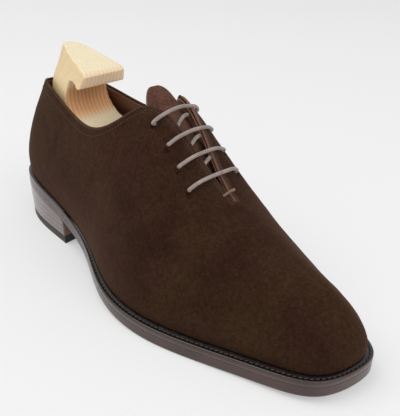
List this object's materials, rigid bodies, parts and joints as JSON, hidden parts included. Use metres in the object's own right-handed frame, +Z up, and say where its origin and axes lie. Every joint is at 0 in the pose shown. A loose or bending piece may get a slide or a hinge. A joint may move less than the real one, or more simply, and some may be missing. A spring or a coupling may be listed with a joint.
{
  "type": "oxford shoe with shoe tree",
  "caption": "Right wholecut oxford in brown suede on a welted leather sole, laced, with its folding wooden shoe tree inside.",
  "frame": {"origin": "on the ground under the middle of the shoe's bounding box", "axes": "+X to the toe, +Y to the medial side, +Z up"},
  "size_m": [0.2905, 0.1069, 0.1297],
  "materials": {
    "suede": "dark brown napped suede",
    "lining_leather": "smooth reddish tan calf, satin",
    "veg_leather": "vegetable-tanned, matte",
    "sole_leather": "stained dark brown and burnished to a polish",
    "heel_leather": "stacked, stained and burnished",
    "heel_rubber": "matte black",
    "lace_cord": "round waxed cotton, taupe",
    "lace_tip": "gloss",
    "thread": "waxed linen thread",
    "canvas": "woven gemming tape",
    "cork": "granulated cork, matte",
    "beech": "sanded and oiled pale beech",
    "steel": "satin",
    "brass": "satin"
  },
  "bodies": {
    "shoe": {"upper": "suede", "upper_lining": "lining_leather", "heel_counter": "veg_leather", "toe_puff": "veg_leather", "facing_stays": "veg_leather", "hidden_eyelets": "brass", "topline_binding": "suede", "bar_tack": "thread", "tongue": "suede", "tongue_lining": "lining_leather", "lace": "lace_cord", "aglets": "lace_tip", "insole": "veg_leather", "insole_rib": "canvas", "sock_lining": "lining_leather", "welt": "sole_leather", "welt_thread": "thread", "heel_rand": "sole_leather", "cork_filler": "cork", "shank": "steel", "outsole": "sole_leather", "heel_lift_1": "heel_leather", "heel_lift_2": "heel_leather", "heel_lift_3": "heel_leather", "heel_lift_4": "heel_leather", "top_piece": "heel_rubber", "heel_nails": "brass", "tree_forepart": "beech", "tree_hinge_plate": "steel", "tree_plate_screws": "brass"},
    "tree_heel": {"tree_heel_block": "beech", "tree_hinge_pin": "steel"}
  },
  "joints": [
    {"name": "tree_heel_fold", "type": "hinge", "parent": "shoe", "child": "tree_heel", "pos_m": [-0.0386, 0.0074, 0.046], "axis": [0, 1, 0], "range_deg": [0, 28]}
  ]
}
